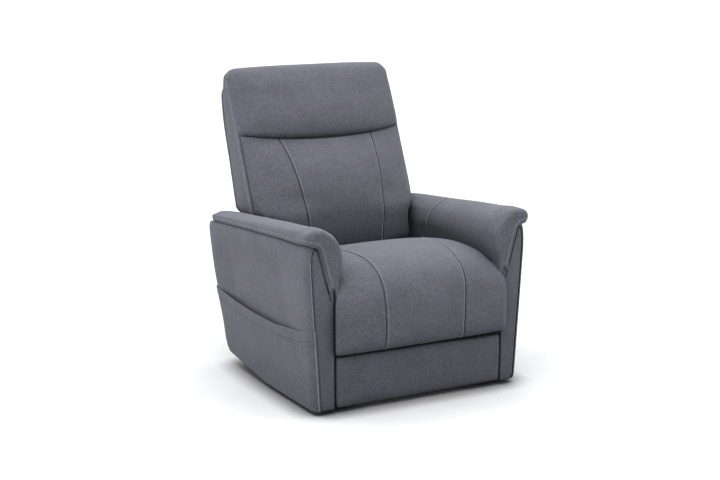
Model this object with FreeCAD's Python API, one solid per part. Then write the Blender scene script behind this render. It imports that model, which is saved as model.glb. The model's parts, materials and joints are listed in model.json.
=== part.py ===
# Powered lift-and-recline armchair: floor frame, lift linkage, carriage, wooden seat
# frame, upholstered arms, reclining back, swing-out legrest, two linear actuators,
# power supply and a hand control kept in the side pocket.
# Units are millimetres, +Z up.  The chair faces -Y, and +X is the sitter's left.
# Shapes are laid out with v = distance behind the front plane of the arms, and moved
# by -YC at export, so that the origin is at floor level under the middle of the chair.
import FreeCAD, Part
import math
import os

# ---------------------------------------------------------------- driving dimensions
YC = 435.5            # v of the origin
ARM_IN = 333.0        # inner face of an arm box, from the middle plane
ARM_OUT = 407.0       # outer face of an arm at z = 20
FLARE = 0.055         # outward lean of the arm's outer face
PANEL_T = 12.0        # arm outer panel
INNER_T = 6.0         # arm inner panel
RAIL_X0, RAIL_X1 = 270.0, 295.0   # floor rails and carriage rails
GLIDE_H = 22.0        # floor glide height
TUBE = 25.0           # square tube size
WALL = 2.0            # tube wall
BOARD_X0, BOARD_X1 = 302.0, 327.0  # wooden seat side boards
PLATE = 6.0           # link and bracket plate thickness
PIN_R = 6.0           # linkage pins
RUN = 0.05            # running clearance, radial
# lift linkage (v, z)
A0 = (60.0, 75.0)                 # front link on the floor frame
A1 = (459.0256, 102.9026)         # front link on the carriage
B0 = (43.8, 100.0)                # rear link on the floor frame
B1 = (438.0, 150.0)               # rear link on the carriage, open pivot
LIFT_DEG = 58.0
# back and legrest pivots
HB = (615.0, 370.0)
BACK_DEG = 42.0
HL = (5.0, 415.0)
# actuators: fixed end, driven end, ratios
LIFT_P, LIFT_C, LIFT_K, LIFT_S = (690.0, 72.0), (110.0, 140.0), -0.018813, 78.578
BACK_P, BACK_C, BACK_K, BACK_S = (300.0, 205.0), (630.0, 280.0), 0.100425, -83.802
LIFT_X, BACK_X = -80.0, 80.0      # middle plane of each actuator
# cushions
SEAT_W = 318.0
BACK_W, BACK_WN = 341.0, 283.0    # half widths above and between the arms
LEG_W = 343.0

os.makedirs("parts", exist_ok=True)
V = FreeCAD.Vector
NODES = {}


def add(name, shape):
    s = shape.copy()
    s.translate(V(0, -YC, 0))
    NODES[name] = s


def box(x0, x1, v0, v1, z0, z1):
    x0, x1 = min(x0, x1), max(x0, x1)
    return Part.makeBox(x1 - x0, v1 - v0, z1 - z0, V(x0, v0, z0))


def prism_x(pts, x0, x1):
    x0, x1 = min(x0, x1), max(x0, x1)
    w = Part.makePolygon([V(x0, a, b) for a, b in pts] + [V(x0, pts[0][0], pts[0][1])])
    return Part.Face(w).extrude(V(x1 - x0, 0, 0))


def prism_y(pts, v0, v1):
    w = Part.makePolygon([V(a, v0, b) for a, b in pts] + [V(pts[0][0], v0, pts[0][1])])
    return Part.Face(w).extrude(V(0, v1 - v0, 0))


def cyl_x(c, r, x0, x1):
    x0, x1 = min(x0, x1), max(x0, x1)
    return Part.makeCylinder(r, x1 - x0, V(x0, c[0], c[1]), V(1, 0, 0))


def tube_box(x0, x1, v0, v1, z0, z1, along):
    o = box(x0, x1, v0, v1, z0, z1)
    x0, x1 = min(x0, x1), max(x0, x1)
    if along == "v":
        i = box(x0 + WALL, x1 - WALL, v0 - 1, v1 + 1, z0 + WALL, z1 - WALL)
    else:
        i = box(x0 - 1, x1 + 1, v0 + WALL, v1 - WALL, z0 + WALL, z1 - WALL)
    return o.cut(i)


def round_tube(c, r, x0, x1, wall=2.0):
    return cyl_x(c, r, x0, x1).cut(cyl_x(c, r - wall, min(x0, x1) - 1, max(x0, x1) + 1))


def group(shapes):
    return Part.makeCompound(shapes)


def link(p, q, w, x0, x1, rp, rq):
    """Flat bar with round ends and a hole at each end, normal to X."""
    dv, dz = q[0] - p[0], q[1] - p[1]
    n = math.hypot(dv, dz)
    a, b = -dz / n * w, dv / n * w
    pts = [(p[0] + a, p[1] + b), (q[0] + a, q[1] + b), (q[0] - a, q[1] - b), (p[0] - a, p[1] - b)]
    s = prism_x(pts, x0, x1).fuse([cyl_x(p, w, x0, x1), cyl_x(q, w, x0, x1)]).removeSplitter()
    if rp:
        s = s.cut(cyl_x(p, rp, min(x0, x1) - 1, max(x0, x1) + 1))
    if rq:
        s = s.cut(cyl_x(q, rq, min(x0, x1) - 1, max(x0, x1) + 1))
    return s


def rot(p, c, deg):
    t = math.radians(deg)
    a, b = p[0] - c[0], p[1] - c[1]
    return (c[0] + a * math.cos(t) - b * math.sin(t), c[1] + a * math.sin(t) + b * math.cos(t))


def slot_for(pivot, pin, foot, k, s, deg, sign, clearance):
    """The space that an actuator's pin needs in a crank plate over the whole travel."""
    u = ((pin[0] - foot[0]), (pin[1] - foot[1]))
    r0 = math.hypot(*u)
    pts = []
    for i in range(41):
        t = deg * i / 40.0
        tr = math.radians(t)
        q = (foot[0] + u[0] * (1 + s * tr / r0), foot[1] + u[1] * (1 + s * tr / r0))
        q = rot(q, foot, k * t)
        q = rot(q, pivot, -sign * t)
        pts.append(q)
    best = max(((a, b) for a in pts for b in pts), key=lambda e: math.hypot(e[0][0] - e[1][0], e[0][1] - e[1][1]))
    (a, b) = best
    n = math.hypot(b[0] - a[0], b[1] - a[1])
    du = ((b[0] - a[0]) / n, (b[1] - a[1]) / n)
    dw = (-du[1], du[0])
    w = [(p[0] - a[0]) * dw[0] + (p[1] - a[1]) * dw[1] for p in pts]
    wm, wh = (max(w) + min(w)) / 2, (max(w) - min(w)) / 2
    r = PIN_R + wh + clearance
    p = (a[0] + dw[0] * wm, a[1] + dw[1] * wm)
    q = (b[0] + dw[0] * wm, b[1] + dw[1] * wm)

    def cutter(x0, x1):
        o = [(p[0] + dw[0] * r, p[1] + dw[1] * r), (q[0] + dw[0] * r, q[1] + dw[1] * r),
             (q[0] - dw[0] * r, q[1] - dw[1] * r), (p[0] - dw[0] * r, p[1] - dw[1] * r)]
        return prism_x(o, x0, x1).fuse([cyl_x(p, r, x0, x1), cyl_x(q, r, x0, x1)])
    return cutter, r, n


def xo(z, o=0.0):
    return ARM_OUT + FLARE * (z - 20.0) + o


def tilted(pts, o0, o1, s):
    """Prism whose outline lies in the leaning outer plane of an arm, offset o0 to o1."""
    w = [V(s * xo(z, o0), a, z) for a, z in pts]
    return Part.Face(Part.makePolygon(w + [w[0]])).extrude(V(s * (o1 - o0), 0, 0))


# ================================================================ floor frame
fb, rb = [], []
for s, side in ((1, "left"), (-1, "right")):
    add("floor_rail_" + side, tube_box(s * RAIL_X0, s * RAIL_X1, 40, 720, GLIDE_H, GLIDE_H + TUBE, "v"))
    # front lift bracket, welded to the inner face of the rail
    pl = prism_x([(30, 22), (150, 22), (150, 50), (100, 100), (72, 92), (48, 92), (30, 70)],
                 s * (RAIL_X0 - PLATE), s * RAIL_X0)
    pl = pl.cut(cyl_x(A0, PIN_R + RUN, s * 200, s * 300))
    fb.append(pl)
    # inner lift bracket, standing on the front cross tube
    pl = prism_x([(60, 47), (80, 47), (68, 70), (57, 100), (55, 110), (48, 114), (38, 114), (28, 104), (28, 92)],
                 s * 234, s * 240)
    pl = pl.cut(cyl_x(B0, PIN_R + RUN, s * 200, s * 300))
    rb.append(pl)
add("front_link_brackets", group(fb))
add("rear_link_brackets", group(rb))
add("floor_cross_tubes", group([tube_box(-264, 264, 60, 85, GLIDE_H, GLIDE_H + TUBE, "x"),
                                tube_box(-270, 270, 690, 715, GLIDE_H, GLIDE_H + TUBE, "x")]))
gl = []
for s in (1, -1):
    for v in (70, 690):
        g = Part.makeCylinder(22, GLIDE_H, V(s * 282.5, v, 0))
        gl.append(g)
add("floor_glides", group(gl))
add("carriage_bumpers", group([box(s * 274, s * 291, v, v + 40, 47, 59.5) for s in (1, -1) for v in (180, 620)]))
# pins fixed in the floor frame
pins = []
for s in (1, -1):
    pins.append(cyl_x(A0, PIN_R, s * 252.5, s * 269.5).fuse(cyl_x(A0, 9, s * 251, s * 253.5)))
    pins.append(cyl_x(B0, PIN_R, s * 234.5, s * 251.5).fuse(cyl_x(B0, 9, s * 250.5, s * 252.5)))
pins.append(cyl_x(LIFT_P, PIN_R, LIFT_X - 22, LIFT_X + 22))
add("floor_pivot_pins", group(pins))
# lift actuator's rear bracket and pin
br = []
for d in (1, -1):
    p = prism_x([(690, 47), (715, 47), (708, 78), (700, 86), (682, 88), (674, 80), (674, 62)],
                LIFT_X + d * 14, LIFT_X + d * 20)
    br.append(p.cut(cyl_x(LIFT_P, PIN_R + RUN, -200, 200)))
add("lift_motor_bracket", group(br))
# power supply on the rear tube, with its inlet
ps = box(70, 190, 600, 690, 26, 84)
ps = ps.makeFillet(6, [e for e in ps.Edges if abs(e.Length - 58) < 0.1])
inlet_seat = box(185, 195, 628, 662, 40, 70)
add("power_supply", ps.cut(inlet_seat))
add("power_inlet", box(185, 193, 628, 662, 40, 70).cut(box(187, 200, 633, 657, 45, 65)))

# ================================================================ front lift link
fl = []
for s, side in ((1, "left"), (-1, "right")):
    T = (A0[0] + 40 * math.cos(math.radians(4)), A0[1] + 40 * math.sin(math.radians(4)))
    lk = link(A0, A1, 15, s * 254, s * 260, PIN_R + RUN, PIN_R + RUN)
    fl.append(lk)
    # the rear link carries its own upper pin, which has free play in the carriage plate
    lb = link(B0, B1, 13, s * 244, s * 250, PIN_R + RUN, 0)
    add("rear_lift_link_" + side, lb.fuse(cyl_x(B1, PIN_R, s * 249, s * 269.5)).removeSplitter())
add("front_lift_links", group(fl))
add("lift_torque_tube", round_tube(T, 12, -254, 254))
cut, r_s, n_s = slot_for(A0, LIFT_C, LIFT_P, LIFT_K, LIFT_S, LIFT_DEG, 1, 0.8)
cr = []
for d in (1, -1):
    p = prism_x([(T[0] - 15, T[1] - 8), (T[0] - 8, T[1] - 16), (T[0] + 8, T[1] - 16), (T[0] + 16, T[1] - 6), (128, 134),
                 (128, 158), (108, 166), (88, 152), (88, 122)], LIFT_X + d * 14, LIFT_X + d * 20)
    p = p.cut(cyl_x(T, 12.02, -300, 300)).cut(cut(LIFT_X - 40, LIFT_X + 40))
    cr.append(p)
add("lift_crank", group(cr))


# ================================================================ actuators
def actuator(P, C, x, tube_r, tube0, tube1, rod0, name, box_half, motor_side):
    L = math.hypot(C[0] - P[0], C[1] - P[1])
    ang = math.degrees(math.atan2(C[1] - P[1], C[0] - P[0]))

    def put(sh):
        sh = sh.copy()
        sh.rotate(V(0, 0, 0), V(1, 0, 0), ang)
        sh.translate(V(x, P[0], P[1]))
        return sh
    # local frame: the rod runs along +v
    hs = box(-box_half, box_half, 28, tube0, -28, 28)
    hs = hs.makeFillet(6, [e for e in hs.Edges if abs(e.Length - (tube0 - 28)) < 0.1])
    eye = box(-12, 12, 0, 29, -12, 12).fuse(cyl_x((0, 0), 12, -12, 12)).cut(cyl_x((0, 0), PIN_R + RUN, -20, 20))
    mot = Part.makeCylinder(21, 74, V(0, tube0 - 30, 28), V(0, 0, 1)) if motor_side == "up" else \
        Part.makeCylinder(21, 66, V(motor_side * box_half, tube0 - 32, 0), V(motor_side, 0, 0))
    hs = hs.fuse([eye, mot]).removeSplitter()
    hs = hs.cut(Part.makeCylinder(10.4, 30, V(0, tube0 - 28, 0), V(0, 1, 0)))
    add(name + "_motor", put(hs))
    tb = Part.makeCylinder(tube_r, tube1 - tube0, V(0, tube0, 0), V(0, 1, 0))
    tb = tb.cut(Part.makeCylinder(10.4, tube1 - tube0 + 2, V(0, tube0 - 1, 0), V(0, 1, 0)))
    add(name + "_tube", put(tb))
    rd = Part.makeCylinder(10, L - 10 - rod0, V(0, rod0, 0), V(0, 1, 0))
    rd = rd.fuse([box(-12, 12, L - 16, L, -11, 11), cyl_x((L, 0), 12, -12, 12)]).removeSplitter()
    rd = rd.cut(cyl_x((L, 0), PIN_R + RUN, -20, 20))
    pin = cyl_x((L, 0), PIN_R, -23, 23)
    add(name + "_rod", group([put(rd), put(pin)]))
    return L


actuator(LIFT_P, LIFT_C, LIFT_X, 18, 112, 380, 150, "lift_actuator", 30, -1)
actuator(BACK_P, BACK_C, BACK_X, 16, 100, 222, 166, "back_actuator", 28, 1)

# ================================================================ carriage and seat frame
cp = []
add("carriage_rails", group([tube_box(s * RAIL_X0, s * RAIL_X1, 150, 680, 60, 60 + TUBE, "v") for s in (1, -1)]))
for s, side in ((1, "left"), (-1, "right")):
    pl = prism_x([(280, 120), (400, 66), (500, 62), (700, 180), (745, 200), (745, 232), (700, 240), (330, 262), (286, 272), (280, 262)],
                 s * (RAIL_X0 - PLATE), s * RAIL_X0)
    for c, r in ((A1, PIN_R + RUN), (B1, PIN_R + 2.2), ((300, 250), 12.52), ((725, 215), 12.52)):
        pl = pl.cut(cyl_x(c, r, s * 200, s * 300))
    cp.append(pl)
    bd = prism_x([(30, 200), (760, 200), (760, 330), (30, 330)], s * BOARD_X0, s * BOARD_X1)
    add("seat_side_board_" + side, bd)
add("carriage_plates", group(cp))
add("carriage_cross_tubes", group([round_tube((300, 250), 12.5, -302, 302), round_tube((725, 215), 12.5, -302, 302)]))
chair_pins = [cyl_x(A1, PIN_R, s * 252, s * 269.5) for s in (1, -1)]
add("seat_front_rail", box(-296, 296, 85, 110, 268, 340))
add("seat_rear_rail", box(-302, 302, 515, 540, 302, 340))
br = []
for d in (1, -1):
    p = prism_x([(286, 192), (314, 192), (315, 240), (312, 262), (288, 262), (284, 240)], BACK_X + d * 14, BACK_X + d * 20)
    br.append(p.cut(cyl_x(BACK_P, PIN_R + RUN, -200, 200)).cut(cyl_x((300, 250), 12.52, -200, 200)))
add("back_motor_bracket", group(br))
chair_pins.append(cyl_x(BACK_P, PIN_R, BACK_X - 22, BACK_X + 22))


def zigzag(x, v0, v1, amp, pitch, w, z0, z1):
    """Flat sinuous spring lying along v, fixed on the two rails."""
    pts = [(x, v0)]
    n = int((v1 - v0 - 40) / pitch)
    for i in range(n + 1):
        v = v0 + 20 + i * pitch
        pts += [(x + (amp if i % 2 == 0 else -amp), v), (x + (amp if i % 2 == 0 else -amp), v + pitch - w * 2.2)]
    pts.append((x, v1))
    lo, hi = [], []
    segs = []
    for (a, b), (c, d) in zip(pts[:-1], pts[1:]):
        n_ = math.hypot(c - a, d - b)
        ux, uy = (c - a) / n_, (d - b) / n_
        h = w / 2
        q = [(a - uy * h - ux * h, b + ux * h - uy * h), (c - uy * h + ux * h, d + ux * h + uy * h),
             (c + uy * h + ux * h, d - ux * h + uy * h), (a + uy * h - ux * h, b - ux * h - uy * h)]
        f = Part.Face(Part.makePolygon([V(e[0], e[1], z0) for e in q] + [V(q[0][0], q[0][1], z0)]))
        segs.append(f.extrude(V(0, 0, z1 - z0)))
    return segs[0].fuse(segs[1:]).removeSplitter()


add("seat_springs", group([zigzag(x, 90, 535, 22, 26, 4, 340.2, 344.2) for x in (-220, -110, 0, 110, 220)]))
# legrest and back hinge plates on the seat side boards
lp, bp, lpin, bpin = [], [], [], []
for s in (1, -1):
    p = prism_x([(120, 210), (120, 360), (60, 392), (10, 426), (-2, 425), (-7, 415), (-2, 405), (26, 399), (34, 385), (34, 210)], s * 296, s * 302)
    lp.append(p.cut(cyl_x(HL, 5.05, s * 200, s * 330)))
    p = prism_x([(560, 230), (680, 230), (660, 330), (637, 384), (615, 394), (594, 384), (585, 350)], s * 296, s * 302)
    bp.append(p.cut(cyl_x(HB, PIN_R + RUN, s * 200, s * 330)))
    lpin.append(cyl_x(HL, 5, s * 287, s * 301.8))
    bpin.append(cyl_x(HB, PIN_R, s * 266, s * 301.8))
add("hinge_plates", group(lp + bp))
add("chair_pivot_pins", group(chair_pins + lpin + bpin))

# ================================================================ seat cushion
sc = prism_x([(-28, 470), (-26, 482), (-6, 494), (60, 502), (160, 509), (250, 510), (350, 495), (430, 473), (514, 454), (514, 400), (135, 400), (135, 470)], -SEAT_W, SEAT_W)
sc = sc.fuse(box(-286, 286, 62, 514, 348, 454)).removeSplitter()
sc = sc.common(prism_y([(-SEAT_W, 340), (-SEAT_W, 474), (-284, 507), (-240, 511), (240, 511), (284, 507), (SEAT_W, 474), (SEAT_W, 340)], -60, 600))
add("seat_cushion", sc)

# ================================================================ legrest
lg = box(-LEG_W, LEG_W, -40, -3, 204, 400).fuse([box(-322, 322, -4, 24, 204, 395), box(-286, 286, -38, 24, 394, 430)])
add("legrest_pad", lg.removeSplitter())
add("legrest_board", box(-289.5, 289.5, 25, 40, 210, 395))
add("lower_front_panel", box(-330, 330, -5, 12, 20, 200))
la = []
for s in (1, -1):
    p = prism_x([(12, 40), (12, 202), (25, 202), (25, 399), (-1, 405), (-7, 415), (-2, 425), (10, 427),
                 (60, 388), (58, 180), (30, 40)], s * 289.5, s * 295.5)
    la.append(p.cut(cyl_x(HL, 5.05, s * 200, s * 330)))
add("legrest_arms", group(la))

# ================================================================ arms
SIDE = [(13, 15), (385, 15), (708, 50), (730, 65), (745, 93), (755, 156), (776, 219), (798, 286), (815, 385), (826, 510)]


def ztop(v):
    return 579.0 - 49.0 * (v - 4.0) / 796.0


ip = []
for s, side in ((1, "left"), (-1, "right")):
    inset = 0.0 if s > 0 else -6.0
    add("arm_outer_panel_" + side, tilted(SIDE + [(800, ztop(800)), (12, ztop(12))], inset - PANEL_T, inset, s))
    inner = [(12.5, 15), (385, 15), (708, 50), (730, 65), (745, 93), (755, 156), (776, 219), (795, 286), (800, 385), (800, ztop(800)), (12.5, ztop(12.5))]
    ip.append(prism_x(inner, s * (ARM_IN - INNER_T), s * ARM_IN))
    fp = [(333, 15), (406.5, 15), (xo(520, -0.5), 520), (xo(572, -2), 572), (400, 578), (389, 550), (370, 478), (354, 414), (333, 414)]
    add("arm_front_panel_" + side, prism_y([(s * a, b) for a, b in fp], 0, 11.5))
    t = inset - PANEL_T - 0.2
    fr = [prism_y([(s * ARM_IN, 20), (s * xo(20, t), 20), (s * xo(552, t), 552), (s * ARM_IN, 552)], 12.5, 52),
          prism_y([(s * ARM_IN, 92), (s * xo(92, t), 92), (s * xo(505, t), 505), (s * ARM_IN, 505)], 690, 738),
          prism_x([(52, 54), (690, 54), (690, 90), (52, 90)], s * ARM_IN, s * 390),
          prism_x([(12.5, ztop(12.5) - 26), (690, ztop(690) - 26), (690, ztop(690) - 1), (12.5, ztop(12.5) - 1)], s * ARM_IN, s * 410)]
    add("arm_frame_" + side, group(fr))
    f0 = [(437, 586), (441, 600), (440, 618), (428, 636), (398, 645), (350, 630), (310, 600), (301, 565), (304, 505), (326.5, 482), (326.5, 582)]
    f1 = [(434, 535), (438, 548), (436, 562), (424, 578), (396, 588), (350, 575), (312, 556), (303, 540), (305, 505), (326.5, 482), (326.5, 531)]
    w0 = [V(s * a, 12, b) for a, b in f0]
    w1 = [V(s * a, 800, b) for a, b in f1]
    pad = Part.makeLoft([Part.makePolygon(w0 + [w0[0]]), Part.makePolygon(w1 + [w1[0]])], True, True)
    tail = [(420, 586), (437, 586), (441, 600), (440, 618), (428, 636), (398, 645), (350, 630), (310, 600), (301, 565), (304, 505), (342, 446),
            (350, 418), (354.5, 418), (370.5, 480), (389.5, 552), (400, 583)]
    pad = pad.fuse(prism_y([(s * a, b) for a, b in tail], -8, 12)).removeSplitter()
    add("arm_pad_" + side, pad)

add("arm_inner_panels", group(ip))

# side pocket on the right arm, with an open mouth along its top edge
q1 = [(20, 60), (690, 60), (728, 78), (738, 100), (748, 156), (768, 219), (790, 286), (790, 320), (20, 320)]
q2 = [(26, 66), (686, 66), (720, 82), (731, 103), (741, 158), (761, 221), (783, 288), (783, 330), (26, 330)]
pk = tilted(q1, -6, 12.5, -1).cut(tilted(q2, -6, 10, -1))
pk = pk.cut(prism_x([(0, 302), (26, 296), (65, 285), (264, 265), (433, 266), (612, 272), (783, 286), (830, 290), (830, 400), (0, 400)], -500, -300))
add("side_pocket", pk)

# ================================================================ hand control in the pocket
HV, HZ = 430.0, 104.0
hb = tilted([(HV, HZ), (HV + 52, HZ), (HV + 52, HZ + 135), (HV + 44, HZ + 148), (HV + 8, HZ + 148), (HV, HZ + 135)], -4.8, 7.6, -1)
ub = [(HV + 12, HZ + 86), (HV + 40, HZ + 86), (HV + 40, HZ + 116), (HV + 12, HZ + 116)]
db = [(HV + 12, HZ + 46), (HV + 40, HZ + 46), (HV + 40, HZ + 76), (HV + 12, HZ + 76)]


def grow(pts, g):
    cx = sum(p[0] for p in pts) / len(pts)
    cz = sum(p[1] for p in pts) / len(pts)
    return [(p[0] + (g if p[0] > cx else -g), p[1] + (g if p[1] > cz else -g)) for p in pts]


for nm, b in (("raise_button", ub), ("lower_button", db)):
    hb = hb.cut(tilted(grow(b, 0.4), 4.0, 9.0, -1))
    add(nm, tilted(b, 5.4, 8.8, -1))
add("hand_control", hb)


# ================================================================ back
def vf(z):
    return 849.0 - 0.443 * (1092.0 - z)


lum = prism_x([(563, 446), (vf(652), 652), (738, 652), (650, 446)], -BACK_WN, BACK_WN)
lum = lum.fuse(prism_x([(vf(650), 650), (vf(858), 858), (829, 858), (737, 650)], -BACK_W, BACK_W)).removeSplitter()
# forward bulge of the middle of the cushion
lum = lum.fuse(prism_x([(526, 438), (522, 470), (523, 520), (528, 570), (538, 620), (556, 675), (586, 730), (624, 780), (680, 830),
                        (716, 858), (760, 858), (668, 650), (585, 446), (585, 438)], -240, 240)).removeSplitter()
add("lumbar_cushion", lum)
hd = prism_x([(vf(861) - 4, 861), (vf(900) - 9, 900), (vf(1040) - 6, 1040), (840, 1080), (853, 1091), (869, 1095), (884, 1086),
              (892, 1062), (892, 1036), (885, 1027), (871, 1005), (858, 1000), (849, 969), (829, 861)], -BACK_W, BACK_W)
hd = hd.fuse(prism_x([(vf(863) - 24, 863), (vf(885) - 36, 885), (vf(940) - 34, 940), (vf(1000) - 28, 1000), (vf(1050) - 20, 1050),
                      (vf(1078) - 4, 1078), (852, 1078), (780, 863)], -300, 300)).removeSplitter()
add("headrest_cushion", hd)
OUT = [(721, 352), (792, 573), (817, 650), (849, 752), (888, 863), (911, 969), (911, 1000), (900, 1022)]
INN = [(886, 1022), (897, 998), (897, 969), (874, 863), (835, 752), (803, 650), (778, 573), (707, 352)]
sh_n = prism_x([OUT[0], OUT[1], OUT[2], INN[5], INN[6], INN[7]], -BACK_WN, BACK_WN)
sh_w = prism_x(OUT[2:] + INN[:6], -BACK_W, BACK_W)
add("back_shell", sh_n.fuse(sh_w).removeSplitter())
CL = [(HB[0], HB[1]), (668, 450), (738, 573), (806, 752), (848, 863), (875, 969), (877, 995)]
fr_pts = [(HB[0] + 15, HB[1] - 6), (679, 446), (749, 571), (817, 750), (859, 862), (886, 968), (886, 995),
          (864, 995), (864, 970), (837, 864), (795, 754), (727, 575), (657, 454), (HB[0] - 13, HB[1] + 9)]
for s, side in ((1, "left"), (-1, "right")):
    p = prism_x(fr_pts, s * 268, s * 290).fuse(cyl_x(HB, 17, s * 268, s * 290)).removeSplitter()
    add("back_post_" + side, p.cut(cyl_x(HB, PIN_R + RUN, s * 200, s * 330)))
add("back_cross_rails", group([prism_x([(864, 970), (886, 970), (886, 995), (864, 995)], -268, 268),
                               prism_x([(797, 740), (815, 735), (830, 775), (812, 780)], -268, 268),
                               box(-268, 268, 662, 684, 430, 462)]))


def back_strap(x):
    """Elastic webbing strap over the front of the back frame, from bottom to top rail."""
    a = [(659.6, 462), (661.8, 462), (742.8, 650), (834.5, 862), (855.5, 969), (863.8, 975), (863.8, 985),
         (861.8, 985), (861.8, 976), (853.5, 970.5), (832.5, 863), (740.8, 651)]
    return prism_x(a, x - 25, x + 25)


add("back_webbing", group([back_strap(x) for x in (-180, -60, 60, 180)]))
cut, r_b, n_b = slot_for(HB, BACK_C, BACK_P, BACK_K, BACK_S, BACK_DEG, -1, 0.8)
cr = []
for d in (1, -1):
    p = prism_x([(655, 430), (681, 430), (656, 268), (642, 256), (622, 256), (612, 268), (612, 296)], BACK_X + d * 14, BACK_X + d * 20)
    cr.append(p.cut(cut(BACK_X - 40, BACK_X + 40)))
add("back_crank", group(cr))

# ================================================================ export
bb = None
for n, s in NODES.items():
    s.exportStep("parts/%s.step" % n)
    for q in s.Solids:
        if not q.isValid() or q.Volume <= 0:
            print("BAD SOLID", n, q.isValid(), q.Volume)
    b = s.BoundBox
    bb = b if bb is None else bb.united(b)
print(len(NODES), "nodes; box", [round(c, 2) for c in (bb.XMin, bb.YMin, bb.ZMin, bb.XMax, bb.YMax, bb.ZMax)])
print("lift slot", round(r_s, 2), round(n_s, 2), "back slot", round(r_b, 2), round(n_b, 2))
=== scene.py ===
import bpy, math
import numpy as np
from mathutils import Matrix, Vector
from mathutils.bvhtree import BVHTree
import json

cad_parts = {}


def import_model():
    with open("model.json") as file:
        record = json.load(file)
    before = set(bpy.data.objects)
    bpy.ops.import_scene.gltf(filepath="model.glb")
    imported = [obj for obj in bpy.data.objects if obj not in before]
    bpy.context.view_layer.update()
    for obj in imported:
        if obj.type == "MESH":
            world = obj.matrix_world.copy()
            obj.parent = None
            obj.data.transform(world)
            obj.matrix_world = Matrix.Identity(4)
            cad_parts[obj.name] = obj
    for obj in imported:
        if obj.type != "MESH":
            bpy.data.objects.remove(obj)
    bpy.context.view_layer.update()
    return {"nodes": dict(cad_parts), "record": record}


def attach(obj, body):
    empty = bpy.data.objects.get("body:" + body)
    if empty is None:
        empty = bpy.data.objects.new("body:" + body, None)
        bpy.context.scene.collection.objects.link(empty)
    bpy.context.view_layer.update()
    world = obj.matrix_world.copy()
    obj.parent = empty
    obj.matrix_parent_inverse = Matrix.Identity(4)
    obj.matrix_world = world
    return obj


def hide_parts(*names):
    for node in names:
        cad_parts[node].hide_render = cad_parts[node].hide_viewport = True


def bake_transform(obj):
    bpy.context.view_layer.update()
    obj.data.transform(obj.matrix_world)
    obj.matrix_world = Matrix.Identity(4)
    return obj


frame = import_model()
YC = 0.4355
rng = np.random.default_rng(7)
COL = bpy.context.scene.collection


# ------------------------------------------------------------------ mesh helpers
def world(p):
    p = np.asarray(p, float).reshape(-1, 3) / 1000.0
    p[:, 1] -= YC
    return p


def make(name, verts, faces, mat=None, smooth=True):
    """verts in mm as (x, v, z) with v behind the arm front."""
    me = bpy.data.meshes.new(name)
    me.from_pydata(world(verts).tolist(), [], [tuple(int(i) for i in f) for f in faces])
    me.validate()
    ob = bpy.data.objects.new(name, me)
    COL.objects.link(ob)
    if smooth:
        me.polygons.foreach_set("use_smooth", [True] * len(me.polygons))
    if mat:
        me.materials.append(mat)
    return ob


def get(ob):
    co = np.zeros(len(ob.data.vertices) * 3)
    ob.data.vertices.foreach_get("co", co)
    co = co.reshape(-1, 3) * 1000.0
    co[:, 1] += YC * 1000.0
    return co


def put(ob, co):
    ob.data.vertices.foreach_set("co", world(co).ravel())
    ob.data.update()


def normals(ob):
    n = np.zeros(len(ob.data.vertices) * 3)
    ob.data.vertices.foreach_get("normal", n)
    return n.reshape(-1, 3)


def loft(name, loops, mat=None, flip=False):
    """loops: (m, n, 3) closed loops.  Ends are closed with fans."""
    L = np.asarray(loops, float)
    m, n, _ = L.shape
    verts = list(L.reshape(-1, 3))
    a = L[0].mean(0); b = L[-1].mean(0)
    ia = len(verts); verts.append(a); ib = len(verts); verts.append(b)
    f = []
    for i in range(m - 1):
        for j in range(n):
            k = (j + 1) % n
            q = (i * n + j, i * n + k, (i + 1) * n + k, (i + 1) * n + j)
            f.append(q[::-1] if flip else q)
    for j in range(n):
        k = (j + 1) % n
        t = (ia, k, j); s = (ib, (m - 1) * n + j, (m - 1) * n + k)
        f.append(t[::-1] if flip else t); f.append(s[::-1] if flip else s)
    ob = make(name, verts, f, mat)
    fix_normals(ob)
    return ob


def fix_normals(ob):
    import bmesh
    bm = bmesh.new(); bm.from_mesh(ob.data)
    bmesh.ops.recalc_face_normals(bm, faces=bm.faces)
    bm.to_mesh(ob.data); bm.free()
    ob.data.update()


def resample(P, n, closed=False):
    P = np.asarray(P, float)
    if closed:
        P = np.vstack([P, P[:1]])
    d = np.r_[0, np.cumsum(np.linalg.norm(np.diff(P, axis=0), axis=1))]
    t = np.linspace(0, d[-1], n + 1)[:-1] if closed else np.linspace(0, d[-1], n)
    return np.stack([np.interp(t, d, P[:, k]) for k in range(P.shape[1])], 1)


def spline(P, n, closed=False):
    """Catmull-Rom through the points, resampled to n points."""
    P = np.asarray(P, float)
    if closed:
        Q = np.vstack([P[-1], P, P[0], P[1]])
    else:
        Q = np.vstack([2 * P[0] - P[1], P, 2 * P[-1] - P[-2]])
    out = []
    for i in range(1, len(Q) - 2):
        p0, p1, p2, p3 = Q[i - 1], Q[i], Q[i + 1], Q[i + 2]
        for t in np.linspace(0, 1, 24, endpoint=False):
            out.append(0.5 * ((2 * p1) + (-p0 + p2) * t + (2 * p0 - 5 * p1 + 4 * p2 - p3) * t * t + (-p0 + 3 * p1 - 3 * p2 + p3) * t ** 3))
    if not closed:
        out.append(Q[-2])
    return resample(np.array(out), n, closed)


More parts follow.
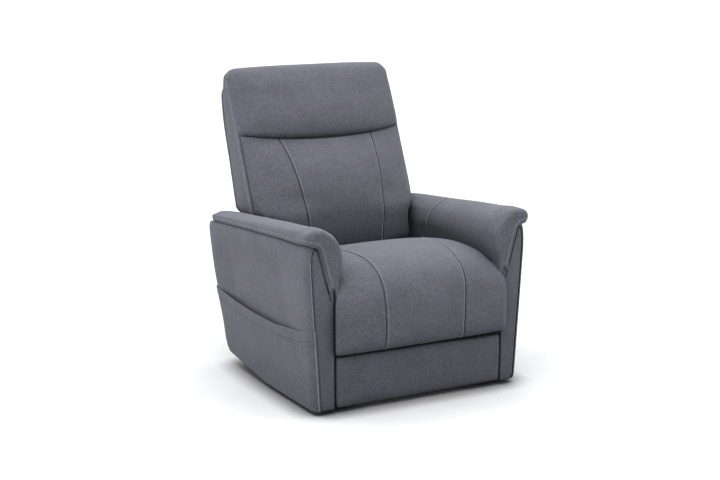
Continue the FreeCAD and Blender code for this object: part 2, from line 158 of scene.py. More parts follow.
def interp(t, xs, ys):
    """smooth interpolation through a table (Catmull-Rom on a function)."""
    xs = np.asarray(xs, float); ys = np.asarray(ys, float)
    if xs[0] > xs[-1]:
        xs, ys = xs[::-1], ys[::-1]
    m = np.gradient(ys, xs)
    t = np.clip(np.asarray(t, float), xs[0], xs[-1])
    i = np.clip(np.searchsorted(xs, t) - 1, 0, len(xs) - 2)
    h = xs[i + 1] - xs[i]; u = (t - xs[i]) / h
    return (ys[i] * (1 + 2 * u) * (1 - u) ** 2 + m[i] * h * u * (1 - u) ** 2 + ys[i + 1] * u * u * (3 - 2 * u) + m[i + 1] * h * u * u * (u - 1))


def sstep(x, a, b):
    t = np.clip((np.asarray(x, float) - a) / (b - a), 0, 1)
    return t * t * (3 - 2 * t)


def apply_mods(ob):
    bpy.context.view_layer.update()
    dg = bpy.context.evaluated_depsgraph_get()
    me = bpy.data.meshes.new_from_object(ob.evaluated_get(dg))
    mats = [m for m in ob.data.materials]
    ob.modifiers.clear()
    ob.data = me
    if not len(me.materials):
        for m in mats:
            me.materials.append(m)
    me.polygons.foreach_set("use_smooth", [True] * len(me.polygons))


def subdivide(ob, n=1):
    m = ob.modifiers.new("s", "SUBSURF"); m.levels = n; m.render_levels = n; m.use_limit_surface = False
    apply_mods(ob)


def relax(ob, it=2, f=0.5):
    m = ob.modifiers.new("sm", "SMOOTH"); m.iterations = it; m.factor = f
    apply_mods(ob)


def remesh(ob, size_mm, relax_it=3):
    m = ob.modifiers.new("r", "REMESH"); m.mode = "VOXEL"; m.voxel_size = size_mm / 1000.0; m.adaptivity = 0
    apply_mods(ob)
    if relax_it:
        relax(ob, relax_it)


def join(obs, name):
    import bmesh
    base = obs[0]
    bm = bmesh.new()
    for o in obs:
        bm.from_mesh(o.data)
    bm.to_mesh(base.data); bm.free()
    for o in obs[1:]:
        bpy.data.objects.remove(o)
    base.name = name
    return base


def path_dist(P, path):
    """distance of each point to a polyline, and the index of the closest segment."""
    P = np.asarray(P, float); path = np.asarray(path, float)
    best = np.full(len(P), 1e9); seg = np.zeros(len(P), int)
    lo = path.min(0) - 40; hi = path.max(0) + 40
    near = np.all((P > lo) & (P < hi), axis=1)
    idx = np.nonzero(near)[0]
    Q = P[idx]
    bd = np.full(len(Q), 1e9); bs = np.zeros(len(Q), int)
    for i in range(len(path) - 1):
        a, b = path[i], path[i + 1]
        ab = b - a; L2 = max(ab @ ab, 1e-9)
        t = np.clip(((Q - a) @ ab) / L2, 0, 1)
        d = np.linalg.norm(Q - (a + t[:, None] * ab), axis=1)
        k = d < bd
        bd[k] = d[k]; bs[k] = i
    best[idx] = bd; seg[idx] = bs
    return best, seg


def groove(ob, path, depth=2.5, sigma=3.0, ridge=0.8, fade=0.0):
    co = get(ob); n = normals(ob)
    d, s = path_dist(co, path)
    k = d < 30
    amp = np.ones(len(co))
    if fade:
        m = len(path) - 1
        t = s / m
        amp = np.clip(np.minimum(t, 1 - t) / fade, 0, 1)
    g = (-depth * np.exp(-(d / sigma) ** 2) + ridge * np.exp(-((d - sigma * 2.3) / (sigma * 1.1)) ** 2)) * amp
    g[~k] = 0
    put(ob, co + n * g[:, None])


def tree(ob):
    bpy.context.view_layer.update()
    return BVHTree.FromObject(ob, bpy.context.evaluated_depsgraph_get())


def on_surface(path, bvh, lift=0.0):
    out = []; nn = []
    for p in world(path):
        loc, nor, _, _ = bvh.find_nearest(Vector(p))
        q = np.array(loc) * 1000.0; q[1] += YC * 1000.0
        out.append(q + np.array(nor) * lift); nn.append(np.array(nor))
    return np.array(out), np.array(nn)


THREADS = []


def stitches(name, path, bvh, mat, pitch=9.4, length=5.2, r=0.9, lift=0.4):
    """One small thread per stitch, lying on the fabric."""
    path = np.asarray(path, float)
    d = np.linalg.norm(np.diff(path, axis=0), axis=1).sum()
    n = max(int(d / pitch), 2)
    P, N = on_surface(resample(path, n * 2), bvh, lift)
    V, F = [], []
    ring = 6
    prof = [(-0.5, 0.35), (-0.36, 0.85), (0.0, 1.0), (0.36, 0.85), (0.5, 0.35)]
    for i in range(0, len(P) - 1, 2):
        a, b = P[i], P[i + 1]
        t = b - a
        if np.linalg.norm(t) < 1e-6:
            continue
        t /= np.linalg.norm(t)
        c = (a + b) / 2
        nn = N[i] - (N[i] @ t) * t; nn /= max(np.linalg.norm(nn), 1e-9)
        s = np.cross(t, nn)
        base = len(V)
        for (u, w) in prof:
            for k in range(ring):
                an = 2 * math.pi * k / ring
                V.append(c + t * u * length + (s * math.cos(an) + nn * math.sin(an) * 0.75) * r * w - nn * (0.35 * (abs(u) * 2) ** 2))
        for q in range(len(prof) - 1):
            for k in range(ring):
                k2 = (k + 1) % ring
                F.append((base + q * ring + k, base + q * ring + k2, base + (q + 1) * ring + k2, base + (q + 1) * ring + k))
        F.append(tuple(base + k for k in range(ring))[::-1])
        F.append(tuple(base + (len(prof) - 1) * ring + k for k in range(ring)))
    ob = make(name, V, F, mat)
    fix_normals(ob)
    return ob


def tube(name, path, r, mat, ring=8):
    P = np.asarray(path, float)
    T = np.gradient(P, axis=0); T /= np.linalg.norm(T, axis=1)[:, None]
    up = np.array([0.3, 0.2, 0.93]); L = []
    rr = np.full(len(P), float(r)) if np.isscalar(r) else np.interp(np.linspace(0, 1, len(P)), np.linspace(0, 1, len(r)), r)
    for i in range(len(P)):
        r = rr[i]
        a = np.cross(T[i], up); a /= np.linalg.norm(a); b = np.cross(T[i], a)
        L.append([P[i] + r * (a * math.cos(2 * math.pi * k / ring) + b * math.sin(2 * math.pi * k / ring)) for k in range(ring)])
    return loft(name, L, mat)


def seam_shade_cord(name, path, mat=None, r=1.0):
    """painted shade: a thin near-black cord laid at the bottom of the groove where two panels meet, standing in for the
    seam's shadow
    """
    p = resample(np.asarray(path, float), max(int(len(path) * 0.8), 12))
    return tube(name, p, r, mat or PAINTED_SEAM_SHADE, 6)


def puff(ob, pin, frames=18, pressure=4.0, cap=20.0, stiff=12.0, keep=1.0):
    """Inflates a closed fabric shell with the cloth solver; pin is 0..1 per point."""
    vg = ob.vertex_groups.new(name="pin")
    for lv in np.unique(np.round(pin, 2)):
        if lv > 0:
            vg.add(np.nonzero(np.round(pin, 2) == lv)[0].tolist(), float(lv), "REPLACE")
    rest = get(ob)
    m = ob.modifiers.new("c", "CLOTH")
    s = m.settings
    s.quality = 4; s.mass = 0.35; s.tension_stiffness = stiff; s.compression_stiffness = stiff
    s.shear_stiffness = stiff * 0.6; s.bending_stiffness = 0.8
    s.use_pressure = True; s.uniform_pressure_force = pressure
    s.effector_weights.gravity = 0.0
    s.vertex_group_mass = "pin"; s.pin_stiffness = 1.0
    m.collision_settings.use_collision = False
    sc = bpy.context.scene
    m.point_cache.frame_start = 1; m.point_cache.frame_end = frames
    for f in range(1, frames + 1):
        sc.frame_set(f)
    bpy.context.view_layer.update()
    dg = bpy.context.evaluated_depsgraph_get()
    ev = ob.evaluated_get(dg).to_mesh()
    co = np.zeros(len(ev.vertices) * 3); ev.vertices.foreach_get("co", co)
    ob.evaluated_get(dg).to_mesh_clear()
    co = co.reshape(-1, 3) * 1000.0; co[:, 1] += YC * 1000.0
    ob.modifiers.clear()
    ob.vertex_groups.clear()
    sc.frame_set(1)
    if len(co) == len(rest):
        d = co - rest
        L = np.linalg.norm(d, axis=1)
        d *= (np.minimum(L, cap) / np.maximum(L, 1e-9))[:, None] * keep
        print("puff", ob.name, "max", L.max().round(1), "mean", L.mean().round(1))
        put(ob, rest + d)


# ------------------------------------------------------------------ materials
def mat_new(name):
    m = bpy.data.materials.new(name); m.use_nodes = True
    nt = m.node_tree; nt.nodes.clear()
    out = nt.nodes.new("ShaderNodeOutputMaterial"); b = nt.nodes.new("ShaderNodeBsdfPrincipled")
    nt.links.new(b.outputs[0], out.inputs[0])
    return m, nt, b


def noise_node(nt, co, scale, detail=3.0, rough=0.55, dist=0.0):
    n = nt.nodes.new("ShaderNodeTexNoise"); n.inputs["Scale"].default_value = scale
    n.inputs["Detail"].default_value = detail; n.inputs["Roughness"].default_value = rough
    n.inputs["Distortion"].default_value = dist
    nt.links.new(co, n.inputs["Vector"])
    return n


def ramp(nt, src, stops):
    r = nt.nodes.new("ShaderNodeValToRGB")
    e = r.color_ramp.elements
    while len(e) < len(stops):
        e.new(0.5)
    for i, (p, c) in enumerate(stops):
        e[i].position = p; e[i].color = (*c, 1) if len(c) == 3 else c
    nt.links.new(src, r.inputs[0])
    return r


def mix(nt, a, b, fac, mode="MIX"):
    m = nt.nodes.new("ShaderNodeMix"); m.data_type = "RGBA"; m.blend_type = mode
    if isinstance(fac, float):
        m.inputs[0].default_value = fac
    else:
        nt.links.new(fac, m.inputs[0])
    for i, s in ((6, a), (7, b)):
        if isinstance(s, tuple):
            m.inputs[i].default_value = (*s, 1)
        else:
            nt.links.new(s, m.inputs[i])
    return m.outputs[2]


def srgb(r, g, b):
    f = lambda c: (c / 255 / 12.92) if c / 255 <= 0.04045 else ((c / 255 + 0.055) / 1.055) ** 2.4
    return (f(r), f(g), f(b))


def suede(name, dark=(56, 57, 62), light=(77, 78, 84), bump=0.35, paint_crease_shade=True):
    m, nt, b = mat_new(name)
    tc = nt.nodes.new("ShaderNodeTexCoord"); co = tc.outputs["Object"]
    big = noise_node(nt, co, 11, 3, 0.55, 0.6)        # brushed nap in hand-sized patches
    mid = noise_node(nt, co, 190, 4, 0.62, 0.3)        # centimetre mottling
    fine = noise_node(nt, co, 560, 3, 0.65)           # speckle of the knit back showing through
    c1 = ramp(nt, mid.outputs[0], [(0.30, srgb(*dark)), (0.70, srgb(*light))])
    c2 = ramp(nt, fine.outputs[0], [(0.32, (0.80, 0.80, 0.815)), (0.62, (1.06, 1.06, 1.065))])
    c3 = ramp(nt, big.outputs[0], [(0.30, (0.90, 0.90, 0.905)), (0.70, (1.08, 1.08, 1.085))])
    x = mix(nt, c1.outputs[0], c2.outputs[0], 0.75, "MULTIPLY")
    x = mix(nt, x, c3.outputs[0], 0.9, "MULTIPLY")
    spk = noise_node(nt, co, 240, 2, 0.5, 0.8)           # sparse darker flecks where the nap is rubbed
    x = mix(nt, x, ramp(nt, spk.outputs[0], [(0.60, (1, 1, 1)), (0.74, (0.70, 0.70, 0.71))]).outputs[0], 1.0, "MULTIPLY")
    if paint_crease_shade:                                             # painted shade: an ambient-occlusion term darkens the base colour in creases, corners and between parts
        painted_shade_ao = nt.nodes.new("ShaderNodeAmbientOcclusion"); painted_shade_ao.samples = 8; painted_shade_ao.inputs["Distance"].default_value = 0.62
        x = mix(nt, x, ramp(nt, painted_shade_ao.outputs["AO"], [(0.08, (0.22, 0.22, 0.24)), (0.42, (0.66, 0.66, 0.675)),
                                                   (0.62, (0.93, 0.93, 0.935)), (0.88, (1.09, 1.09, 1.09))]).outputs[0], 1.0, "MULTIPLY")
    nt.links.new(x, b.inputs["Base Color"])
    b.inputs["Roughness"].default_value = 0.92
    b.inputs["Specular IOR Level"].default_value = 0.18
    b.inputs["Sheen Weight"].default_value = 0.12
    b.inputs["Sheen Roughness"].default_value = 0.42
    b.inputs["Sheen Tint"].default_value = (0.72, 0.75, 0.84, 1)
    # bump: fine nap, pebbled knit backing and soft ripples
    nap = noise_node(nt, co, 1900, 2, 0.7)
    peb = noise_node(nt, co, 620, 2, 0.6)
    rip = noise_node(nt, co, 42, 2, 0.5, 0.4)
    ad = nt.nodes.new("ShaderNodeMath"); ad.operation = "MULTIPLY_ADD"; ad.inputs[1].default_value = 0.35
    nt.links.new(nap.outputs[0], ad.inputs[0]); nt.links.new(peb.outputs[0], ad.inputs[2])
    b1 = nt.nodes.new("ShaderNodeBump"); b1.inputs["Strength"].default_value = bump; b1.inputs["Distance"].default_value = 0.0009
    nt.links.new(ad.outputs[0], b1.inputs["Height"])
    b2 = nt.nodes.new("ShaderNodeBump"); b2.inputs["Strength"].default_value = 0.25; b2.inputs["Distance"].default_value = 0.004
    nt.links.new(rip.outputs[0], b2.inputs["Height"]); nt.links.new(b1.outputs[0], b2.inputs["Normal"])
    nt.links.new(b2.outputs[0], b.inputs["Normal"])
    return m


def simple(name, col, rough, metal=0.0, scale=300.0, var=0.12, bump=0.15, dist=0.0004, stretch=None, coat=0.0, spec=0.5):
    m, nt, b = mat_new(name)
    tc = nt.nodes.new("ShaderNodeTexCoord"); co = tc.outputs["Object"]
    if stretch:
        mp = nt.nodes.new("ShaderNodeMapping"); mp.inputs["Scale"].default_value = stretch
        nt.links.new(co, mp.inputs["Vector"]); co = mp.outputs[0]
    n = noise_node(nt, co, scale, 4, 0.6)
    lo = tuple(c * (1 - var) for c in col); hi = tuple(min(c * (1 + var), 1) for c in col)
    c = ramp(nt, n.outputs[0], [(0.3, lo), (0.7, hi)])
    nt.links.new(c.outputs[0], b.inputs["Base Color"])
    r = ramp(nt, n.outputs[0], [(0.3, (rough * 0.85,) * 3), (0.7, (min(rough * 1.15, 1),) * 3)])
    nt.links.new(r.outputs[0], b.inputs["Roughness"])
    b.inputs["Metallic"].default_value = metal
    b.inputs["Specular IOR Level"].default_value = spec
    b.inputs["Coat Weight"].default_value = coat
    bp = nt.nodes.new("ShaderNodeBump"); bp.inputs["Strength"].default_value = bump; bp.inputs["Distance"].default_value = dist
    nt.links.new(n.outputs[0], bp.inputs["Height"]); nt.links.new(bp.outputs[0], b.inputs["Normal"])
    return m


def wood(name):
    m, nt, b = mat_new(name)
    tc = nt.nodes.new("ShaderNodeTexCoord")
    mp = nt.nodes.new("ShaderNodeMapping"); mp.inputs["Scale"].default_value = (60, 4, 60)
    nt.links.new(tc.outputs["Object"], mp.inputs["Vector"])
    n = noise_node(nt, mp.outputs[0], 3.0, 6, 0.6, 1.2)
    f = noise_node(nt, mp.outputs[0], 22.0, 3, 0.6, 0.2)
    c = ramp(nt, n.outputs[0], [(0.25, (0.38, 0.24, 0.12)), (0.5, (0.55, 0.38, 0.21)), (0.75, (0.66, 0.49, 0.30))])
    x = mix(nt, c.outputs[0], ramp(nt, f.outputs[0], [(0.35, (0.75, 0.72, 0.68)), (0.6, (1, 1, 1))]).outputs[0], 0.6, "MULTIPLY")
    nt.links.new(x, b.inputs["Base Color"]); b.inputs["Roughness"].default_value = 0.68
    bp = nt.nodes.new("ShaderNodeBump"); bp.inputs["Strength"].default_value = 0.3; bp.inputs["Distance"].default_value = 0.0006
    nt.links.new(f.outputs[0], bp.inputs["Height"]); nt.links.new(bp.outputs[0], b.inputs["Normal"])
    return m


FAB = suede("slate_suede")
DTHREAD = simple("dark_thread", srgb(44, 45, 50), 0.85, scale=900, var=0.2, bump=0.3)
# painted shade: near-black cloth colour for cords and pieces placed where seams and gaps fall into shadow
PAINTED_SEAM_SHADE = simple("seam_shadow_cloth", (0.0105, 0.0107, 0.0125), 0.95, scale=900, var=0.25, bump=0.3, spec=0.1)
# painted highlight: a lighter copy of the suede for the welt, standing in for the light the piping catches
WELT_PAINTED_HIGHLIGHT = suede("slate_suede_welt_highlight", (64, 65, 71), (88, 89, 96))
THREAD = simple("topstitch_thread", srgb(130, 131, 138), 0.8, scale=900, var=0.2, bump=0.4)
LINING = simple("black_dust_cloth", (0.022, 0.022, 0.024), 0.95, scale=700, var=0.35, bump=0.5)
STEEL = simple("black_powder_coat", (0.022, 0.022, 0.024), 0.42, scale=1400, var=0.2, bump=0.25, coat=0.15)
ZINC = simple("zinc_plate", (0.60, 0.61, 0.62), 0.28, 1.0, scale=220, var=0.1, bump=0.08, stretch=(1, 6, 6))
SPRING = simple("spring_wire", (0.30, 0.31, 0.33), 0.35, 1.0, scale=500, var=0.2)
RUBBER = simple("black_rubber", (0.018, 0.018, 0.018), 0.85, scale=800, var=0.25, bump=0.3)
PLASTIC = simple("dark_plastic", (0.030, 0.031, 0.034), 0.48, scale=2200, var=0.12, bump=0.35, dist=0.0003)
BUTTON = simple("grey_soft_touch", (0.34, 0.35, 0.37), 0.55, scale=2000, var=0.08, bump=0.25)
WEB = simple("elastic_webbing", (0.045, 0.045, 0.05), 0.85, scale=1200, var=0.45, bump=0.6, stretch=(1, 4, 1))
WOOD = wood("pine_and_ply")
SLOTS = {"board": WOOD, "steel_black": STEEL, "zinc": ZINC, "spring": SPRING, "rubber": RUBBER,
         "plastic": PLASTIC, "button": BUTTON, "webbing": WEB, "fabric": FAB}
slot_of = {s["node"]: s["material_slot"] for s in frame["record"]["subparts"]}
for n, o in frame["nodes"].items():
    o.data.materials.clear()
    o.data.materials.append(SLOTS[slot_of[n]])
for n in ("arm_inner_panels", "arm_frame_left", "arm_frame_right"):    # boards with the cover drawn round and stapled
    frame["nodes"][n].data.materials[0] = FAB


def part(ob, body, nodes=()):
    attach(ob, body)
    if nodes:
        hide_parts(*nodes)
    return ob


# ------------------------------------------------------------------ seat and legrest pad
P = np.array([(517, 448), (470, 461), (420, 474), (370, 488), (310, 503), (250, 511), (190, 512), (130, 509), (85, 502), (50, 491),
              (20, 477), (-5, 458), (-23, 433), (-34, 404), (-39, 370), (-41, 330), (-41, 290), (-39, 250), (-35, 225), (-27, 209), (-14, 204.5)], float)
Q = np.array([(516, 352), (470, 350), (420, 350), (370, 350), (310, 350), (250, 350), (200, 350), (160, 352), (130, 357), (105, 365),
              (78, 376), (52, 386), (32, 393), (24, 384), (23, 362), (23, 330), (23, 290), (23, 250), (22, 228), (19, 214), (8, 206)], float)
S_N, C_N = 150, 250
Ps, Qs = spline(P, 700), spline(Q, 700)
tt = np.linspace(0, 1, len(P))
# keep the pairing between the outer and the inner profile
Pd = np.stack([interp(np.linspace(0, 1, S_N), tt, P[:, k]) for k in (0, 1)], 1)
Qd = np.stack([interp(np.linspace(0, 1, S_N), tt, Q[:, k]) for k in (0, 1)], 1)
s_arc = np.r_[0, np.cumsum(np.linalg.norm(np.diff(Pd, axis=0), axis=1))]
want = np.linspace(0, s_arc[-1], S_N)
par = np.interp(want, s_arc, np.linspace(0, 1, S_N))
Pd = np.stack([interp(par, tt, P[:, k]) for k in (0, 1)], 1)
Qd = np.stack([interp(par, tt, Q[:, k]) for k in (0, 1)], 1)
loops = []
for i in range(S_N):
    p, q = Pd[i], Qd[i]
    h = np.linalg.norm(p - q) / 2; nrm = (p - q) / (2 * h); c = (p + q) / 2
    # half width: between the arms it is narrower than in front of them
    W = 316 + 27 * float(sstep(-p[0], -34, 8))
    te = (s_arc[-1] - want[i])
    if te < 16:
        W -= 14 * (1 - math.sqrt(max(1 - ((16 - te) / 16.0) ** 2, 0)))
    topness = max(nrm[1], 0)
    endr = min(i, S_N - 1 - i)
    shrink = 1.0 if endr > 5 else (1 - (1 - endr / 6.0) ** 2) ** 0.5 * 0.5 + 0.5
    r = min(26.0, h * 0.8)
    # rounded rectangle, x by thickness
    a, b_ = W, h
    pts = []
    for cx, cy, a0 in ((a - r, b_ - r, 0), (-(a - r), b_ - r, 90), (-(a - r), -(b_ - r), 180), (a - r, -(b_ - r), 270)):
        for t in np.linspace(0, 90, 10):
            pts.append((cx + r * math.cos(math.radians(a0 + t)), cy + r * math.sin(math.radians(a0 + t))))
    R = resample(np.array(pts), C_N, True)
    x, y = R[:, 0].copy(), R[:, 1].copy()
    # crown: the top falls towards the sides
    u = np.abs(x) / 343.0
    drop = (6 * u ** 2 + 36 * u ** 4) * topness + 7.0 * u ** 4 * (1 - topness)
    y = np.where(y > 0, y - drop * (y / b_), y)
    y *= shrink
    vv = c[0] + nrm[0] * y
    lim = 330.0 + 13.0 * sstep(-vv, 6, 22)
    x = np.where((np.abs(x) > lim) & (vv < 30), np.sign(x) * lim, x)
    x = x * (0.985 + 0.015 * shrink)
    loops.append(np.stack([x, c[0] + nrm[0] * y, c[1] + nrm[1] * y], 1))
seat = loft("seat_and_legrest_cover", loops, FAB)


def seat_seam(sgn):
    """image of the curved panel seams: nearly straight down the front, curving outwards on top"""
    pr = [(-18, 205, 158), (-41, 250, 157), (-41, 330, 158), (-39, 370, 160), (-30, 412, 163), (-12, 446, 164), (27, 483, 165), (85, 501, 167),
          (169, 511, 174), (250, 510, 186), (330, 498, 204), (400, 480, 228)]
    return spline([(sgn * x, v, z) for v, z, x in pr], 90)


co = get(seat)
pin = np.zeros(len(co))
for sg in (1, -1):
    d, _ = path_dist(co, seat_seam(sg))
    pin = np.maximum(pin, np.where(d < 5, 1.0, np.where(d < 12, 0.4, 0)))
inner = np.array([0.0] * len(co))
# the underside, the back of the legrest part and both ends are stapled down
nn = normals(seat)
hid = ((nn[:, 2] < -0.6) & (co[:, 1] > 40)) | ((nn[:, 1] > 0.5) & (co[:, 1] < 60) & (co[:, 2] < 400)) | (co[:, 1] > 505) | (co[:, 2] < 212)
pin[hid] = 1.0
edge = np.abs(co[:, 0]) > 312
pin[edge & (co[:, 2] < 400)] = 0.6
puff(seat, pin, frames=16, pressure=2.6, cap=9.0, keep=0.8)
subdivide(seat, 1)
SEAMS_SEAT, seat_shade_cords = [], []
for sg in (1, -1):
    path = on_surface(seat_seam(sg), tree(seat))[0]
    groove(seat, path, depth=3.0, sigma=3.2, ridge=0.9, fade=0.04)
    SEAMS_SEAT.append(path)
    # painted shade: a near-black cord in the seat seam groove
    seat_shade_cords.append(seam_shade_cord("seat_seam_shade_" + ("left" if sg > 0 else "right"), on_surface(path, tree(seat), 0.1)[0]))
bv = tree(seat)
st = []
for k, sg in enumerate((1, -1)):
    p = SEAMS_SEAT[k].copy(); p[:, 0] -= sg * 7.0
    st.append(stitches("seat_topstitch_" + ("left" if sg > 0 else "right"), p, bv, THREAD))
# ------------------------------------------------------------------ lower front panel
loops = []
for i in range(44):
    z = 20.5 + 180.0 * i / 43
    e = min(i, 43 - i)
    g = 1.0 if e > 4 else 0.62 + 0.38 * (1 - (1 - e / 5.0) ** 2) ** 0.5
    a, b_, r = 328.0 - (6 * (1 - math.sqrt(max(1 - ((6 - min(e, 6)) / 6.0) ** 2, 0)))), 8.5, 7.0
    pts = []
    for cx, cy, a0 in ((a - r, b_ - r, 0), (-(a - r), b_ - r, 90), (-(a - r), -(b_ - r), 180), (a - r, -(b_ - r), 270)):
        for t in np.linspace(0, 90, 6):
            pts.append((cx + r * math.cos(math.radians(a0 + t)), cy + r * math.sin(math.radians(a0 + t))))
    R = resample(np.array(pts), 230, True)
    x, y = R[:, 0].copy(), R[:, 1] * g
    u = np.abs(x) / 331.0; w = (i / 43.0) * 2 - 1
    bulge = 4.0 * (1 - u ** 8) * (1 - w ** 4) + 0.8 * np.sin(x / 47.0 + 3 * w)
    y = np.where(y < 0, y - bulge, y)
    zz_ = 20.5 + (z - 20.5) * (175.0 - 5.0 * sstep(x, -60, 250) + 1.5 * np.sin(x / 60.0)) / 180.0
    loops.append(np.stack([x, 4.6 + y, zz_], 1))
low = loft("lower_front_cover", loops, FAB)
subdivide(low, 1)
LOWST = []
# painted shade: a near-black box behind the lower panel shows only in the gap under the seat pad, standing in for the
# shadow there
bx = [(x, v, z) for z in (24, 209) for v in (10.5, 12.5) for x in (-331, 331)]
lower_gap_shade_box = make("lower_front_gap_shade", bx, [(0, 1, 3, 2), (4, 6, 7, 5), (0, 4, 5, 1), (2, 3, 7, 6), (0, 2, 6, 4), (1, 5, 7, 3)], PAINTED_SEAM_SHADE, smooth=False)
fix_normals(lower_gap_shade_box)
for sg in (1, -1):
    q = on_surface([(sg * 321.0, -8.0, z) for z in np.linspace(24, 188, 60)], tree(low))[0]
    groove(low, q, depth=1.6, sigma=2.4, ridge=0.7)

# ------------------------------------------------------------------ arms
RZ = [15, 50, 65, 93, 156, 219, 286, 385, 512, 600]
RV = [700, 716, 732, 745, 757, 777, 798, 816, 828, 832]


def zbot(v):
    return np.interp(v, [0, 385, 708, 735, 760], [13, 14, 49, 68, 95])


def v_rear(z):
    return interp(z, RZ, RV)


def xout(z):
    return interp(z, [0, 20, 202, 343, 436, 528, 560, 600], [406.0, 407.5, 418.5, 427.5, 433.0, 436.5, 434.0, 427.0])


R1, R2 = 18.0, 15.0
RV1 = 40.0            # the front corner is softer along the side than across the front
Q1 = math.pi / 2 * math.sqrt((R1 ** 2 + RV1 ** 2) / 2)


def arm_side(s_, z, off, side, VR=None):
    """Point on the outside of the arm: s_ runs from the front seam round the front corner, along the side, round the
    rear corner.  Returns |x|, v and the outward normal in plan."""
    X = xout(z)
    if VR is None:
        VR = v_rear(z)
    f = 3.0; q1 = Q1; L = VR - RV1 - R2; q2 = math.pi / 2 * R2
    if s_ < f:
        return X - R1 - (f - s_), 0.0 - off, (0, -1)
    s_ -= f
    if s_ < q1:
        a = s_ / q1 * math.pi / 2
        return X - R1 + (R1 + off) * math.sin(a), RV1 - (RV1 + off) * math.cos(a), (math.sin(a), -math.cos(a))
    s_ -= q1
    if s_ < L:
        v = RV1 + s_
        u = s_ / L
        w = 3.5 * math.sin(math.pi * u) ** 0.8
        if side < 0:
            w -= 12.5 * float(sstep(v, 50, 240) * (1 - sstep(v, 620, 780)) * (1 - sstep(z, 425, 555)) * sstep(z, 30, 90))
        return X + w + off, v, (1, 0)
    s_ -= L
    a = min(s_ / R2, math.pi / 2)
    return X - R2 + (R2 + off) * math.cos(a), VR - R2 + (R2 + off) * math.sin(a), (math.cos(a), math.sin(a))


def ztop_body(v):
    return np.interp(v, [-10, 0, 76, 203, 381, 580, 795, 830], [594, 592, 583, 579, 567, 555, 538, 533])


ARM = {}
for side in (1, -1):
    nm = "left" if side > 0 else "right"
    loops = []
    NZ = 84
    for i in range(NZ):
        t = i / (NZ - 1)
        lp = []
        e = min(i, NZ - 1 - i)
        g = 0 if e > 4 else 8.0 * (1 - (1 - (1 - e / 5.0) ** 2) ** 0.5)     # rounded bottom and top edges
        z0 = 14 + t * 580
        VR = float(v_rear(50 + t * 484))
        tot = 3.0 + Q1 + (VR - RV1 - R2) + math.pi / 2 * R2
        for s_ in np.r_[np.linspace(0, 3 + Q1, 18), np.linspace(3 + Q1, tot - math.pi / 2 * R2, 104)[1:], np.linspace(tot - math.pi / 2 * R2, tot, 9)[1:]]:
            x, v, n = arm_side(float(s_), z0, -g, side, VR)
            zr = float(zbot(v)) + t * (float(ztop_body(v)) - float(zbot(v)))
            x, v, n = arm_side(float(s_), zr, -g, side, VR)
            lp.append([x, v])
        xe = lp[-1][0]
        for x in np.linspace(xe, 337, 10)[1:]:
            lp.append([x, VR - g])
        for v in np.linspace(VR - 4, 6, 96):
            lp.append([334.5 + g * 0.5, v])
        X0 = float(xout(z0)) - R1 - 3
        for x in np.linspace(336, X0, 14)[:-1]:
            lp.append([x, -1.2 * math.sin(math.pi * (x - 334) / (X0 - 334)) + g * 0.4])
        lp = np.array(lp)
        zb = zbot(lp[:, 1]); zt = ztop_body(lp[:, 1])
        loops.append(np.stack([side * lp[:, 0], lp[:, 1], zb + t * (zt - zb)], 1))
    ob = loft("arm_cover_" + nm, loops, FAB, flip=side < 0)
    subdivide(ob, 1)
    seam = [(side * (float(xout(z)) - R1 - 2.0), 0.0, z) for z in np.linspace(16, 545, 76)] + [(side * x, 0.0, z) for x, z in ((415.5, 556), (411, 568), (405, 577), (398, 583))]
    seam = on_surface(seam, tree(ob))[0]
    groove(ob, seam, depth=3.4, sigma=2.6, ridge=0.8)
    ARM[side] = (ob, seam)
    # painted shade: a near-black cord in the arm front seam groove
    part(seam_shade_cord("arm_front_seam_shade_" + nm, on_surface(seam, tree(ob), 0.2)[0], r=1.3), "chair")

